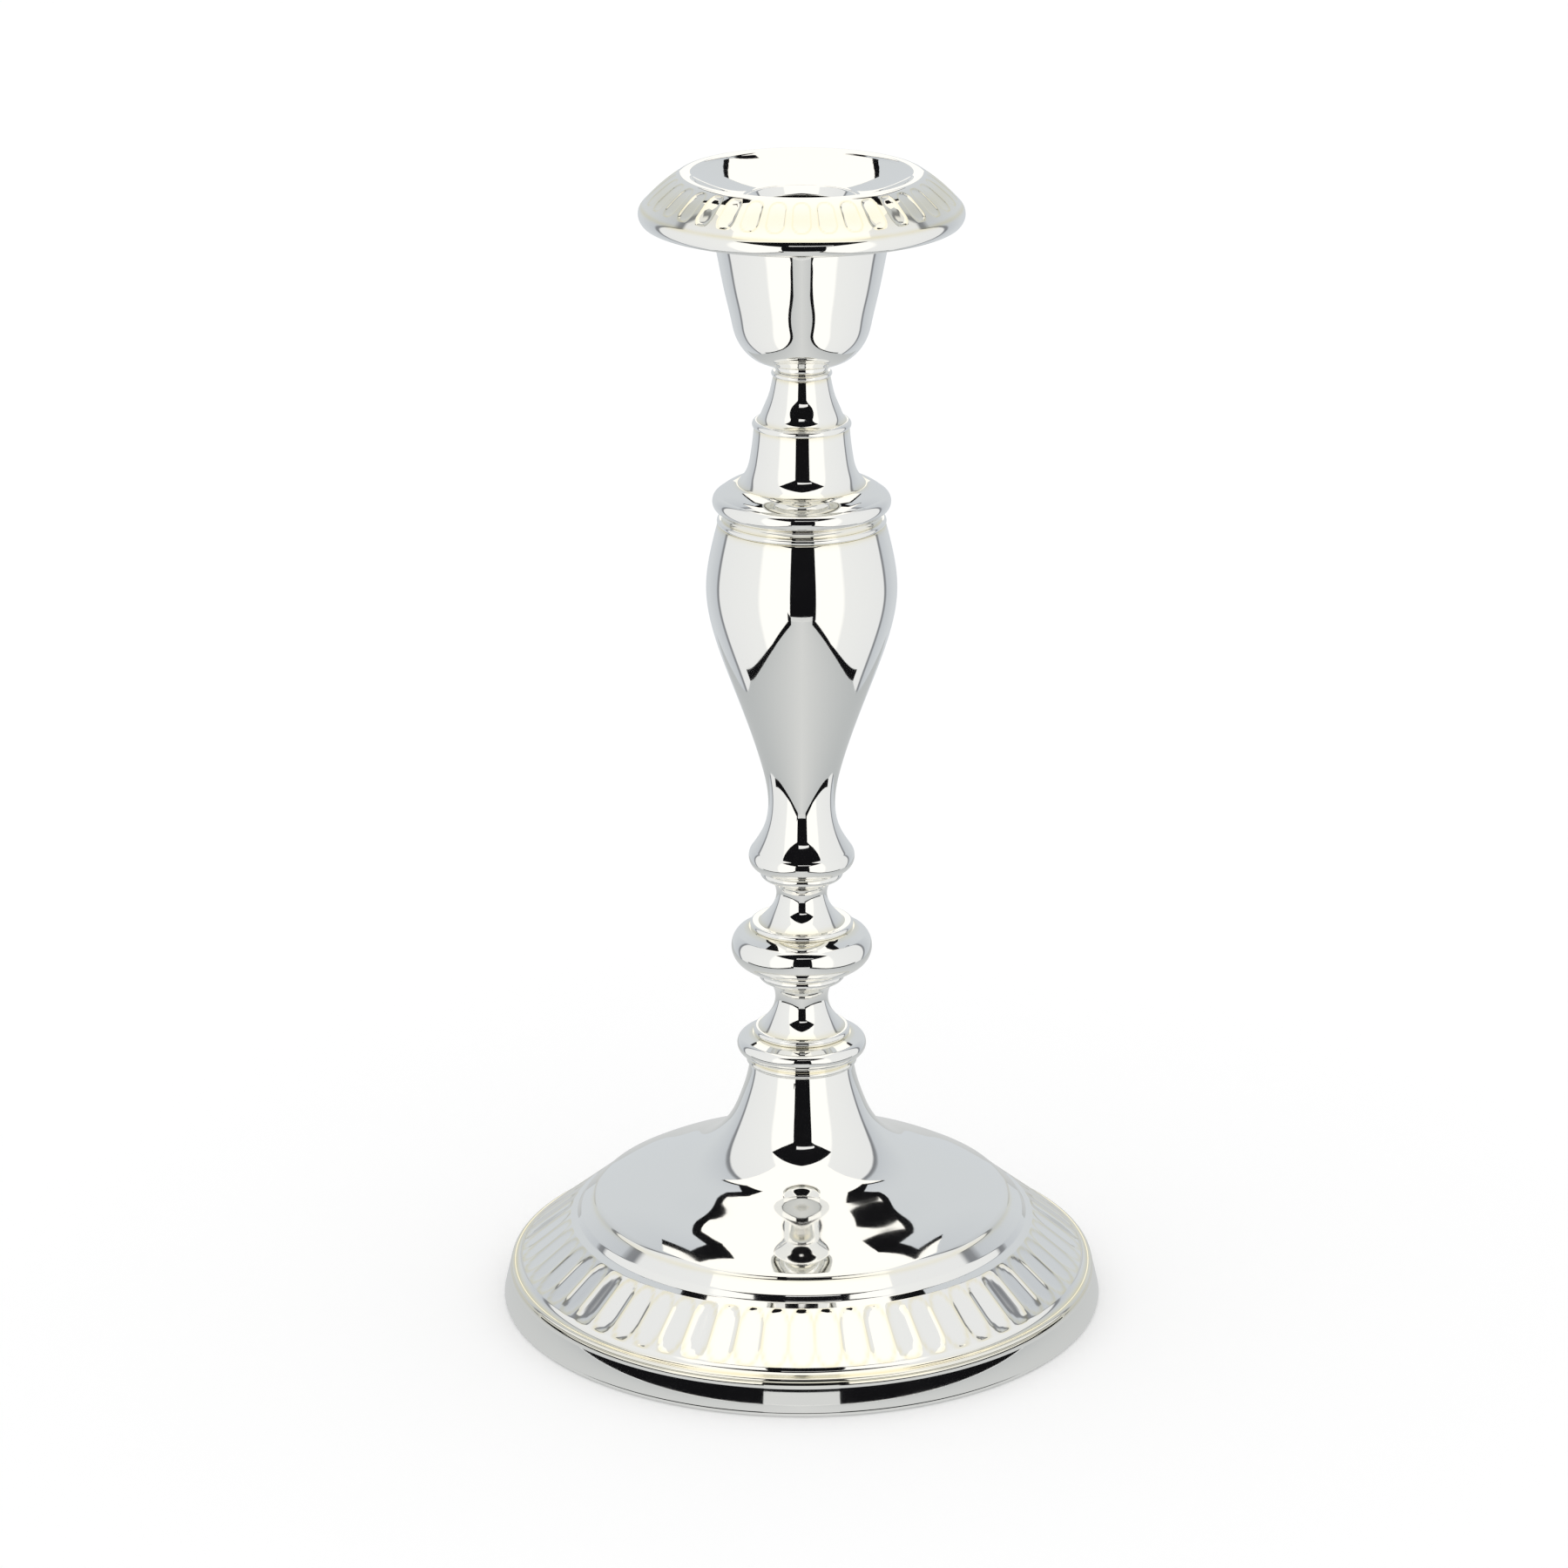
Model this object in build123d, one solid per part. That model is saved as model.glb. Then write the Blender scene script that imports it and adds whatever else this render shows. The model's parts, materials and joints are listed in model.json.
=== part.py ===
"""Altar candlestick: silver-plated brass sections stacked on one steel tie rod.

Millimetres, +Z up, origin at the middle of the felt underside.  Everything is
turned or spun about the Z axis.  The stand runs from the felt up to the candle
cup; the nozzle (drip pan with its candle socket) drops into the cup and lifts out.
"""
from build123d import *
import os

# ---- driving dimensions -------------------------------------------------------
TOTAL_HEIGHT = 250.0          # felt underside to the crest of the drip pan
BASE_RADIUS = 65.4            # widest point of the foot
PAN_RADIUS = 33.7             # widest point of the drip pan
CANDLE_RADIUS = 10.2          # socket bore, for a 20 mm candle end
MOUTH_RADIUS = 11.4           # flared mouth of the socket
BASE_FLUTES = 64
PAN_FLUTES = 36

ROD_RADIUS = 2.5              # M5 tie rod
ROD_BORE = 2.55               # hole through every threaded-on section
THREAD_BORE = 2.51            # bore of the two nuts
CASTING_WALL = 1.5            # wall of the hollow castings
LIFT_GAP = 0.3                # clearance all round the lift-out nozzle

# ---- levels of the joints between the stacked sections, from the foot up ------
FELT_TOP = 1.5
PLATE_TOP = 2.3
SKIRT_BOTTOM = 0.1
BASE_TOP = 54.0
COLLAR_TOP = 60.7
COLLAR_RING_TOP = 62.2
LOWER_SPOOL_TOP = 73.4
KNOP_LOWER_RING_TOP = 75.3
KNOP_TOP = 85.2
KNOP_UPPER_RING_TOP = 86.4
UPPER_SPOOL_TOP = 96.6
BALUSTER_RING_TOP = 98.4
BALUSTER_TOP = 175.3
SHOULDER_RING_TOP = 176.6
DISC_TOP = 184.1
LOWER_BELL_TOP = 196.3
BELL_RING_TOP = 197.7
UPPER_BELL_TOP = 207.2
NECK_BEAD_TOP = 208.3
CUP_BOTTOM = 209.8
CUP_RIM = 243.8
SOCKET_TOP = 244.8            # candle hole, at the bottom of the pan's bowl

# ---- cup, liner and nozzle ----------------------------------------------------
CUP_FLOOR = 211.6
CUP_RIM_RADIUS = 18.8
LINER_LEDGE = 241.0
LINER_LEDGE_RADIUS = 17.0
LINER_FLANGE_RADIUS = 17.35
LINER_FLANGE = 1.0
LINER_BOTTOM = 219.5
SOCKET_WALL = 1.6
MOUTH_DEPTH = 1.7
SOCKET_RADIUS = CANDLE_RADIUS + SOCKET_WALL
SOCKET_BOTTOM = 219.8
SOCKET_FLOOR = 0.8
SOCKET_FLANGE_RADIUS = 14.8
SOCKET_FLANGE = 0.8
LINER_BORE = SOCKET_RADIUS + LIFT_GAP
LINER_WALL = 0.9
PAN_SHEET = 1.0
SOLDER_GAP = 0.05

# ---- weight, plate and felt under the foot ------------------------------------
PLATE_RADIUS = 63.8
PLATE_LEDGE_RADIUS = 63.2
FELT_RADIUS = 63.5
WEIGHT_RADIUS = 55.0
WEIGHT_HOLE = 14.0
WEIGHT_EDGE_TOP = 5.0
WEIGHT_TOP = 7.6

# ---- tie rod and its fasteners ------------------------------------------------
WEB = 3.0                     # end wall of the base neck that the rod pulls against
NUT_FLATS = 8.0
NUT_HEIGHT = 4.0
WASHER_THICK = 1.0
WASHER_RADIUS = 5.5
BASE_WASHER_RADIUS = 7.5
LOCK_WASHER_RADIUS = 4.4
LOCK_WASHER_SLOT = 1.0
ROD_STICKS_OUT = 1.5


def turned(*outline):
    """Spin a closed outline of (radius, height) lines once round the Z axis."""
    return revolve(make_face(Plane.XZ * (Curve() + list(outline))), Axis.Z)


def section(first, outer, last):
    """A solid section with the rod hole through it, closed by flat end faces."""
    inside = Polyline(last, (ROD_BORE, last[1]), (ROD_BORE, first[1]), first)
    return turned(*outer, inside)


def bead(bottom, top, foot, widest, neck):
    """A half-round ring from radius foot, out to widest, and back to neck."""
    first = (foot, bottom)
    last = (neck, top)
    side = ThreePointArc(first, (widest, (bottom + top) / 2), last)
    return section(first, [side], last)


def tube(inner, outer, bottom, top):
    """A plain ring or tube."""
    corners = [(inner, bottom), (outer, bottom), (outer, top), (inner, top)]
    return turned(Polyline(*corners, close=True))


# ---- the foot -----------------------------------------------------------------
def felt_pad():
    return turned(Polyline((0, 0), (FELT_RADIUS, 0), (FELT_RADIUS, FELT_TOP), (0, FELT_TOP), close=True))


def base_cover_plate():
    corners = [(0, FELT_TOP), (PLATE_RADIUS, FELT_TOP), (PLATE_RADIUS, PLATE_TOP), (0, PLATE_TOP)]
    return turned(Polyline(*corners, close=True))


def base_weight():
    """Cast-iron disc that keeps the candlestick from tipping."""
    shoulder = WEIGHT_RADIUS - 14
    return turned(Polyline(
        (WEIGHT_HOLE, PLATE_TOP),
        (WEIGHT_RADIUS, PLATE_TOP),
        (WEIGHT_RADIUS, WEIGHT_EDGE_TOP),
        (shoulder, WEIGHT_TOP),
        (WEIGHT_HOLE, WEIGHT_TOP),
        close=True,
    ))


def base_shell():
    """Neck, dome, plain band, fluted band and skirt, spun as one hollow shell."""
    neck_top = (11.2, BASE_TOP)
    dome_edge = (45.2, 22.8)
    step = (45.5, 22.2)
    flutes_in = (50.7, 18.0)
    flutes_out = (61.4, 9.3)
    groove = (62.9, 8.0)
    ring = (63.9, 7.1)
    skirt_top = (64.3, 5.9)
    skirt_edge = (65.35, 0.9)
    outer = [
        Spline(neck_top, (12.0, 50.1), (13.4, 45.7), (15.4, 41.1), (17.8, 37.7), (20.6, 35.0),
               (24.2, 32.6), (29.0, 30.4), (34.0, 28.2), (40.0, 25.6), dome_edge),
        Line(dome_edge, step),
        Polyline(step, (48.55, 19.95), (49.1, 18.95), flutes_in),
        Line(flutes_in, flutes_out),
        ThreePointArc(flutes_out, (62.0, 8.4), groove),
        ThreePointArc(groove, (63.6, 7.8), ring),
        ThreePointArc(ring, (64.15, 6.6), skirt_top),
        ThreePointArc(skirt_top, (64.95, 3.2), skirt_edge),
        ThreePointArc(skirt_edge, (BASE_RADIUS, 0.45), (65.2, SKIRT_BOTTOM)),
    ]
    neck_bore = 9.8
    inner = [
        Polyline((65.2, SKIRT_BOTTOM), (PLATE_RADIUS + 0.05, SKIRT_BOTTOM),
                 (PLATE_RADIUS + 0.05, PLATE_TOP), (PLATE_LEDGE_RADIUS, PLATE_TOP),
                 (62.6, 5.4), (60.2, 7.4), (49.6, 16.0), (44.0, 20.8)),
        Spline((44.0, 20.8), (39.2, 23.8), (33.3, 26.5), (28.3, 28.7), (23.3, 31.0), (19.4, 33.4),
               (16.3, 36.6), (13.9, 40.2), (11.6, 45.7), (10.3, 49.6), (neck_bore, BASE_TOP - WEB)),
        Polyline((neck_bore, BASE_TOP - WEB), (ROD_BORE, BASE_TOP - WEB),
                 (ROD_BORE, BASE_TOP), neck_top),
    ]
    shell = turned(*outer, *inner)
    return shell - base_flute_cutters(flutes_in, flutes_out)


def base_flute_cutters(start, end):
    """One round-ended channel, laid down the slope and repeated round the foot."""
    cut_radius = 6.8
    cut_depth = 0.4
    run = Vector(end[0] - start[0], 0, end[1] - start[1])
    run_length = run.length
    outward = Vector(-run.Z, 0, run.X) / run_length
    end_reach = (cut_radius ** 2 - (cut_radius - cut_depth) ** 2) ** 0.5
    axis_start = Vector(start[0], 0, start[1]) + outward * (cut_radius - cut_depth)
    axis_start = axis_start + run / run_length * end_reach
    length = run_length - 2 * end_reach
    frame = Plane(origin=axis_start, z_dir=run)
    align = (Align.CENTER, Align.CENTER, Align.MIN)
    channel = frame * Cylinder(cut_radius, length, align=align)
    channel += frame * Sphere(cut_radius)
    channel += frame * Pos(0, 0, length) * Sphere(cut_radius)
    return [Rot(0, 0, 360 * i / BASE_FLUTES) * channel for i in range(BASE_FLUTES)]


def base_collar():
    """Round collar on top of the neck, over a small fillet ring."""
    fillet_top = (11.5, BASE_TOP + 1.4)
    outer = [
        ThreePointArc((11.5, BASE_TOP), (12.0, BASE_TOP + 0.7), fillet_top),
        Line(fillet_top, (12.8, 56.4)),
        ThreePointArc((12.8, 56.4), (13.97, 58.4), (12.9, 60.0)),
        Line((12.9, 60.0), (10.6, COLLAR_TOP)),
    ]
    return section((11.5, BASE_TOP), outer, (10.6, COLLAR_TOP))


def collar_ring():
    return bead(COLLAR_TOP, COLLAR_RING_TOP, 10.0, 10.45, 9.9)


def lower_spool():
    first = (9.5, COLLAR_RING_TOP)
    last = (8.5, LOWER_SPOOL_TOP)
    side = Spline(first, (6.85, 65.2), (5.7, 68.9), (6.6, 71.9), last)
    return section(first, [side], last)


# ---- knop and its rings -------------------------------------------------------
def knop_lower_ring():
    return bead(LOWER_SPOOL_TOP, KNOP_LOWER_RING_TOP, 8.8, 9.4, 9.0)


def knop():
    underside = (13.5, 77.3)
    shoulder = (13.8, 83.9)
    first = (9.4, KNOP_LOWER_RING_TOP)
    last = (11.4, KNOP_TOP)
    outer = [
        ThreePointArc(first, (11.6, 76.1), underside),
        ThreePointArc(underside, (15.15, 80.6), shoulder),
        Line(shoulder, last),
    ]
    return section(first, outer, last)


def knop_upper_ring():
    return bead(KNOP_TOP, KNOP_UPPER_RING_TOP, 10.7, 11.1, 10.2)


def upper_spool():
    first = (9.4, KNOP_UPPER_RING_TOP)
    last = (7.7, UPPER_SPOOL_TOP)
    side = Spline(first, (7.1, 88.7), (5.45, 92.4), (6.1, 95.1), last)
    return section(first, [side], last)


def baluster_ring():
    return bead(UPPER_SPOOL_TOP, BALUSTER_RING_TOP, 8.3, 8.9, 8.6)


# ---- baluster and shoulder ----------------------------------------------------
def baluster_body():
    """Hollow vase-shaped body with a bead at its foot."""
    first = (9.2, BALUSTER_RING_TOP)
    bead_top = (10.6, 103.3)
    last = (17.7, BALUSTER_TOP)
    outer = [
        ThreePointArc(first, (11.35, 101.2), bead_top),
        Spline(bead_top, (8.1, 107.7), (7.15, 113.0), (8.65, 122.2), (12.2, 133.2), (15.8, 143.0),
               (18.9, 152.6), (20.15, 161.2), (19.4, 168.1), last),
    ]
    floor = 103.6
    ceiling = BALUSTER_TOP - CASTING_WALL
    inner = [
        Polyline(last, (ROD_BORE, BALUSTER_TOP), (ROD_BORE, ceiling), (16.4, ceiling)),
        Spline((16.4, ceiling), (17.9, 168.1), (18.6, 161.2), (17.4, 152.6), (14.3, 143.0),
               (10.7, 133.2), (7.1, 122.2), (5.6, 113.0), (5.6, 107.0)),
        Polyline((5.6, 107.0), (4.6, floor), (ROD_BORE, floor), (ROD_BORE, BALUSTER_RING_TOP), first),
    ]
    return turned(*outer, *inner)


def shoulder_ring():
    return bead(BALUSTER_TOP, SHOULDER_RING_TOP, 17.3, 17.8, 17.2)


def shoulder_disc():
    """Domed disc that caps the baluster, hollowed from below."""
    first = (16.9, SHOULDER_RING_TOP)
    underside = (17.7, 178.4)
    crown = (17.6, 182.0)
    last = (13.6, DISC_TOP)
    hollow = 179.6
    outer = [
        ThreePointArc(first, (17.1, 177.7), underside),
        ThreePointArc(underside, (18.75, 180.3), crown),
        ThreePointArc(crown, (15.9, 183.2), last),
    ]
    inner = Polyline(last, (ROD_BORE, DISC_TOP), (ROD_BORE, hollow), (15.2, hollow),
                     (15.2, SHOULDER_RING_TOP), first)
    return turned(*outer, inner)


# ---- bell-shaped neck under the cup -------------------------------------------
def lower_bell():
    first = (13.5, DISC_TOP)
    last = (10.0, LOWER_BELL_TOP)
    side = Spline(first, (11.9, 186.1), (10.7, 190.2), (10.2, 194.0), last)
    return section(first, [side], last)


def bell_ring():
    return bead(LOWER_BELL_TOP, BELL_RING_TOP, 10.2, 10.35, 9.5)


def upper_bell():
    first = (9.3, BELL_RING_TOP)
    last = (5.95, UPPER_BELL_TOP)
    side = Spline(first, (8.45, 199.7), (7.0, 202.7), (6.27, 205.6), last)
    return section(first, [side], last)


def neck_bead():
    return bead(UPPER_BELL_TOP, NECK_BEAD_TOP, 5.9, 6.35, 5.7)


def cup_collar():
    return bead(NECK_BEAD_TOP, CUP_BOTTOM, 5.2, 5.7, 5.6)


# ---- cup and nozzle -----------------------------------------------------------
def candle_cup():
    """Drawn urn-shaped cup; the tie rod's top nut clamps its floor."""
    foot = (6.4, CUP_BOTTOM)
    rim = (CUP_RIM_RADIUS, CUP_RIM)
    outer = [
        Spline(foot, (9.8, 211.0), (12.35, 213.3), (13.8, 215.9), (14.7, 219.5), (15.95, 225.0),
               (17.4, 232.4), (18.5, 239.0), rim),
    ]
    inner = [
        Polyline(rim, (LINER_FLANGE_RADIUS + SOLDER_GAP, CUP_RIM),
                 (LINER_FLANGE_RADIUS + SOLDER_GAP, LINER_LEDGE), (LINER_LEDGE_RADIUS, LINER_LEDGE)),
        Spline((LINER_LEDGE_RADIUS, LINER_LEDGE), (16.1, 232.4), (14.6, 225.0), (13.4, 219.5),
               (12.6, 216.6), (11.2, 214.2), (9.2, 212.4), (7.2, CUP_FLOOR)),
        Polyline((7.2, CUP_FLOOR), (ROD_BORE, CUP_FLOOR), (ROD_BORE, CUP_BOTTOM), foot),
    ]
    return turned(*outer, *inner)


def cup_liner():
    """Flanged sleeve in the cup that guides the socket of the nozzle."""
    sleeve_radius = LINER_BORE + LINER_WALL
    top = LINER_LEDGE + LINER_FLANGE
    return turned(Polyline(
        (LINER_BORE, LINER_BOTTOM),
        (sleeve_radius, LINER_BOTTOM),
        (sleeve_radius, LINER_LEDGE),
        (LINER_FLANGE_RADIUS, LINER_LEDGE),
        (LINER_FLANGE_RADIUS, top),
        (LINER_BORE, top),
        close=True,
    ))


def candle_socket():
    """Drawn socket soldered under the pan; the candle stands on its floor."""
    pan_underside = SOCKET_TOP - PAN_SHEET
    flange_bottom = pan_underside - SOCKET_FLANGE
    return turned(Polyline(
        (0, SOCKET_BOTTOM),
        (SOCKET_RADIUS, SOCKET_BOTTOM),
        (SOCKET_RADIUS, flange_bottom),
        (SOCKET_FLANGE_RADIUS, flange_bottom),
        (SOCKET_FLANGE_RADIUS, pan_underside),
        (SOCKET_RADIUS, pan_underside),
        (SOCKET_RADIUS, SOCKET_TOP),
        (MOUTH_RADIUS, SOCKET_TOP),
        (CANDLE_RADIUS, SOCKET_TOP - MOUTH_DEPTH),
        (CANDLE_RADIUS, SOCKET_BOTTOM + SOCKET_FLOOR),
        (0, SOCKET_BOTTOM + SOCKET_FLOOR),
        close=True,
    ))


def drip_pan():
    """Bowl, rounded crest, fluted shoulder and rolled lip of the drip pan."""
    hole = SOCKET_RADIUS + SOLDER_GAP
    crest_in = (22.4, 249.35)
    crest_out = (25.8, 249.45)
    flutes_out = (31.95, 244.35)
    lip_top = (33.1, 243.15)
    lip_bottom = (32.9, 239.8)
    lip_inside = (32.0, 240.6)
    outer = [
        Line((hole, SOCKET_TOP), crest_in),
        ThreePointArc(crest_in, (24.3, TOTAL_HEIGHT), crest_out),
        ThreePointArc(crest_out, (29.4, 246.75), flutes_out),
        Line(flutes_out, lip_top),
        ThreePointArc(lip_top, (PAN_RADIUS, 241.4), lip_bottom),
        ThreePointArc(lip_bottom, (32.2, 239.95), lip_inside),
    ]
    under = SOCKET_TOP - PAN_SHEET
    inner = [
        ThreePointArc(lip_inside, (29.3, 244.9), (25.1, 248.0)),
        ThreePointArc((25.1, 248.0), (24.2, 248.5), (23.3, 248.3)),
        Line((23.3, 248.3), (15.5, under)),
        Polyline((15.5, under), (hole, under), (hole, SOCKET_TOP)),
    ]
    pan = turned(*outer, *inner)
    return pan - pan_flute_cutters((29.8, 246.4), slope=43)


def pan_flute_cutters(middle, slope):
    """One scoop across the rounded shoulder, repeated round the pan."""
    cut_radius = 6.2
    cut_depth = 0.3
    scoop = Cylinder(cut_radius, 14)
    lift = cut_radius - cut_depth
    place = Pos(middle[0], 0, middle[1]) * Rot(0, 90 + slope, 0) * Pos(-lift, 0, 0)
    return [Rot(0, 0, 360 * i / PAN_FLUTES) * place * scoop for i in range(PAN_FLUTES)]


# ---- tie rod and fasteners ----------------------------------------------------
def hex_nut(bottom):
    nut = extrude(RegularPolygon(NUT_FLATS / 2, 6, major_radius=False), NUT_HEIGHT)
    nut -= Cylinder(THREAD_BORE, 3 * NUT_HEIGHT)
    return Pos(0, 0, bottom) * nut


def split_washer(bottom):
    ring = tube(ROD_BORE, LOCK_WASHER_RADIUS, bottom, bottom + WASHER_THICK)
    slot = Pos(LOCK_WASHER_RADIUS, 0, bottom) * Box(2 * LOCK_WASHER_RADIUS, LOCK_WASHER_SLOT, 4)
    return ring - slot


def tie_rod(bottom, top):
    align = (Align.CENTER, Align.CENTER, Align.MIN)
    return Pos(0, 0, bottom) * Cylinder(ROD_RADIUS, top - bottom, align=align)


def build():
    base_washer_bottom = BASE_TOP - WEB - WASHER_THICK
    lock_washer_bottom = base_washer_bottom - WASHER_THICK
    base_nut_bottom = lock_washer_bottom - NUT_HEIGHT
    cup_nut_bottom = CUP_FLOOR + WASHER_THICK
    cup_nut_top = cup_nut_bottom + NUT_HEIGHT
    return {
        "felt_pad": felt_pad(),
        "base_cover_plate": base_cover_plate(),
        "base_weight": base_weight(),
        "base_shell": base_shell(),
        "base_collar": base_collar(),
        "collar_ring": collar_ring(),
        "lower_spool": lower_spool(),
        "knop_lower_ring": knop_lower_ring(),
        "knop": knop(),
        "knop_upper_ring": knop_upper_ring(),
        "upper_spool": upper_spool(),
        "baluster_ring": baluster_ring(),
        "baluster_body": baluster_body(),
        "shoulder_ring": shoulder_ring(),
        "shoulder_disc": shoulder_disc(),
        "lower_bell": lower_bell(),
        "bell_ring": bell_ring(),
        "upper_bell": upper_bell(),
        "neck_bead": neck_bead(),
        "cup_collar": cup_collar(),
        "candle_cup": candle_cup(),
        "cup_liner": cup_liner(),
        "candle_socket": candle_socket(),
        "drip_pan": drip_pan(),
        "base_washer": tube(ROD_BORE, BASE_WASHER_RADIUS, base_washer_bottom, BASE_TOP - WEB),
        "lock_washer": split_washer(lock_washer_bottom),
        "base_nut": hex_nut(base_nut_bottom),
        "cup_washer": tube(ROD_BORE, WASHER_RADIUS, CUP_FLOOR, cup_nut_bottom),
        "cup_nut": hex_nut(cup_nut_bottom),
        "tie_rod": tie_rod(base_nut_bottom - ROD_STICKS_OUT, cup_nut_top + ROD_STICKS_OUT),
    }


os.makedirs("parts", exist_ok=True)
for name, shape in build().items():
    export_step(shape, f"parts/{name}.step")
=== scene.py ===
"""Looks of the altar candlestick: mirror-polished silver plate over turned brass.

Every outside piece is spun again at high resolution with real flutes and softened
edges, and stands for its CAD node. The outlines are the CAD model's, moved by up to
half a millimetre in four places: pan bowl, upper bell's foot, foot's step and skirt.
The flutes are shallower than the CAD model's.
Outlines are in millimetres, as (radius, height); Blender objects are in metres.
"""
import json
import math

import bmesh
import bpy
import numpy as np
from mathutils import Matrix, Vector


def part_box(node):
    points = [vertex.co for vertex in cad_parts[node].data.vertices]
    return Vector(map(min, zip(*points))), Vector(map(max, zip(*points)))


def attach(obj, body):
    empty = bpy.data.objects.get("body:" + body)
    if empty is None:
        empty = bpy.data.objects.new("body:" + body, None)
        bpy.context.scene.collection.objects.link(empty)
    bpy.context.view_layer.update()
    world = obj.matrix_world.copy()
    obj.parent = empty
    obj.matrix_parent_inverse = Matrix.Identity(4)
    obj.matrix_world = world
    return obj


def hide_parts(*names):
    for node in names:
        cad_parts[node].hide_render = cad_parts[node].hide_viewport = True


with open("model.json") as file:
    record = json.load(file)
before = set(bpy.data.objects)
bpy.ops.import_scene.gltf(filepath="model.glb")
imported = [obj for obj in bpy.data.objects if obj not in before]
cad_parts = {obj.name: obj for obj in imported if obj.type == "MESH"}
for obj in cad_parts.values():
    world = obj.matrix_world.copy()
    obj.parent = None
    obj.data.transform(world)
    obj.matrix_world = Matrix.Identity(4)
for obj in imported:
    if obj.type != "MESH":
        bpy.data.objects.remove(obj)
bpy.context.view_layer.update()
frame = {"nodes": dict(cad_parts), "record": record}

MM = 0.001

# ---- the levels where the stacked sections meet, read from the CAD nodes -------


def low(node):
    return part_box(node)[0].z / MM


def high(node):
    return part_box(node)[1].z / MM


ROD_BORE = 2.55
BASE_FLUTES = 64
PAN_FLUTES = 36
ROUND = 192              # facets round a small section
CREASE_ROUND = 0.12      # how far an edge is softened on each side

# ---- outlines -----------------------------------------------------------------


def resample(points, spacing):
    """Even steps along a dense polyline, with one finer step beside each end."""
    points = np.asarray(points, float)
    steps = np.hypot(*np.diff(points, axis=0).T)
    along = np.concatenate([[0], np.cumsum(steps)])
    length = along[-1]
    count = max(2, int(round(length / spacing)) + 1)
    places = np.linspace(0, length, count)
    if length > 6 * CREASE_ROUND:
        places = np.concatenate([places, [CREASE_ROUND, length - CREASE_ROUND]])
        places = np.unique(places.round(5))
    return np.column_stack([np.interp(places, along, points[:, k]) for k in (0, 1)])


def line(*corners, spacing=1.5):
    """Straight runs through the corners."""
    runs = [resample([a, b], spacing) for a, b in zip(corners, corners[1:])]
    return join(runs)


def arc(start, middle, end, spacing=0.5):
    """The circular arc through three points."""
    (ax, ay), (bx, by), (cx, cy) = start, middle, end
    d = 2 * (ax * (by - cy) + bx * (cy - ay) + cx * (ay - by))
    a2, b2, c2 = ax * ax + ay * ay, bx * bx + by * by, cx * cx + cy * cy
    ux = (a2 * (by - cy) + b2 * (cy - ay) + c2 * (ay - by)) / d
    uy = (a2 * (cx - bx) + b2 * (ax - cx) + c2 * (bx - ax)) / d
    radius = math.hypot(ax - ux, ay - uy)
    first = math.atan2(ay - uy, ax - ux)
    half = (math.atan2(by - uy, bx - ux) - first + math.pi) % (2 * math.pi) - math.pi
    rest = (math.atan2(cy - uy, cx - ux) - first - half + math.pi) % (2 * math.pi) - math.pi
    turn = np.linspace(first, first + half + rest, 200)
    curve = np.column_stack([ux + radius * np.cos(turn), uy + radius * np.sin(turn)])
    return resample(curve, min(spacing, abs(half + rest) * radius / 6))


def spline(*points, spacing=0.6):
    """A smooth curve through the points: a natural cubic over the chord length."""
    p = np.asarray(points, float)
    t = np.concatenate([[0], np.cumsum(np.hypot(*np.diff(p, axis=0).T))])
    n = len(p)
    h = np.diff(t)
    a = np.zeros((n, n))
    b = np.zeros((n, 2))
    a[0, 0] = a[-1, -1] = 1
    for i in range(1, n - 1):
        a[i, i - 1:i + 2] = h[i - 1], 2 * (h[i - 1] + h[i]), h[i]
        b[i] = 6 * ((p[i + 1] - p[i]) / h[i] - (p[i] - p[i - 1]) / h[i - 1])
    m = np.linalg.solve(a, b)
    out = []
    for i in range(n - 1):
        s = np.linspace(0, h[i], 40)[:, None]
        r = h[i] - s
        out.append(m[i] * r ** 3 / (6 * h[i]) + m[i + 1] * s ** 3 / (6 * h[i])
                   + (p[i] / h[i] - m[i] * h[i] / 6) * r + (p[i + 1] / h[i] - m[i + 1] * h[i] / 6) * s)
    return resample(np.vstack(out), spacing)


def join(pieces):
    """Pieces end to end, with each shared point kept once."""
    kept = [np.asarray(pieces[0], float)]
    for piece in pieces[1:]:
        same = np.allclose(kept[-1][-1], piece[0], atol=1e-6)
        kept.append(np.asarray(piece, float)[1 if same else 0:])
    return np.vstack(kept)


def closed(*pieces):
    """A closed outline, and where each of its pieces starts."""
    starts, count = [], 0
    parts = []
    for piece in pieces:
        piece = np.asarray(piece, float)
        if parts and np.allclose(parts[-1][-1], piece[0], atol=1e-6):
            piece = piece[1:]
            starts.append(count - 1)
        else:
            starts.append(count)
        parts.append(piece)
        count += len(piece)
    points = np.vstack(parts)
    if np.allclose(points[0], points[-1], atol=1e-6):
        points = points[:-1]
    return points, starts


def soften(points):
    """Sharp corners of a closed outline pulled in a little, so edges catch the light."""
    before, after = np.roll(points, 1, axis=0), np.roll(points, -1, axis=0)
    into, out = points - before, after - points
    into /= np.maximum(np.linalg.norm(into, axis=1), 1e-9)[:, None]
    out /= np.maximum(np.linalg.norm(out, axis=1), 1e-9)[:, None]
    turn = np.degrees(np.arccos(np.clip((into * out).sum(axis=1), -1, 1)))
    pull = np.where(turn > 15, 0.5, 0.0)[:, None]
    near = np.maximum(np.linalg.norm(before - points, axis=1), np.linalg.norm(after - points, axis=1))
    pull = np.where(near[:, None] > 4 * CREASE_ROUND, 0.0, pull)
    return points * (1 - pull) + (before + after) / 2 * pull


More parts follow.
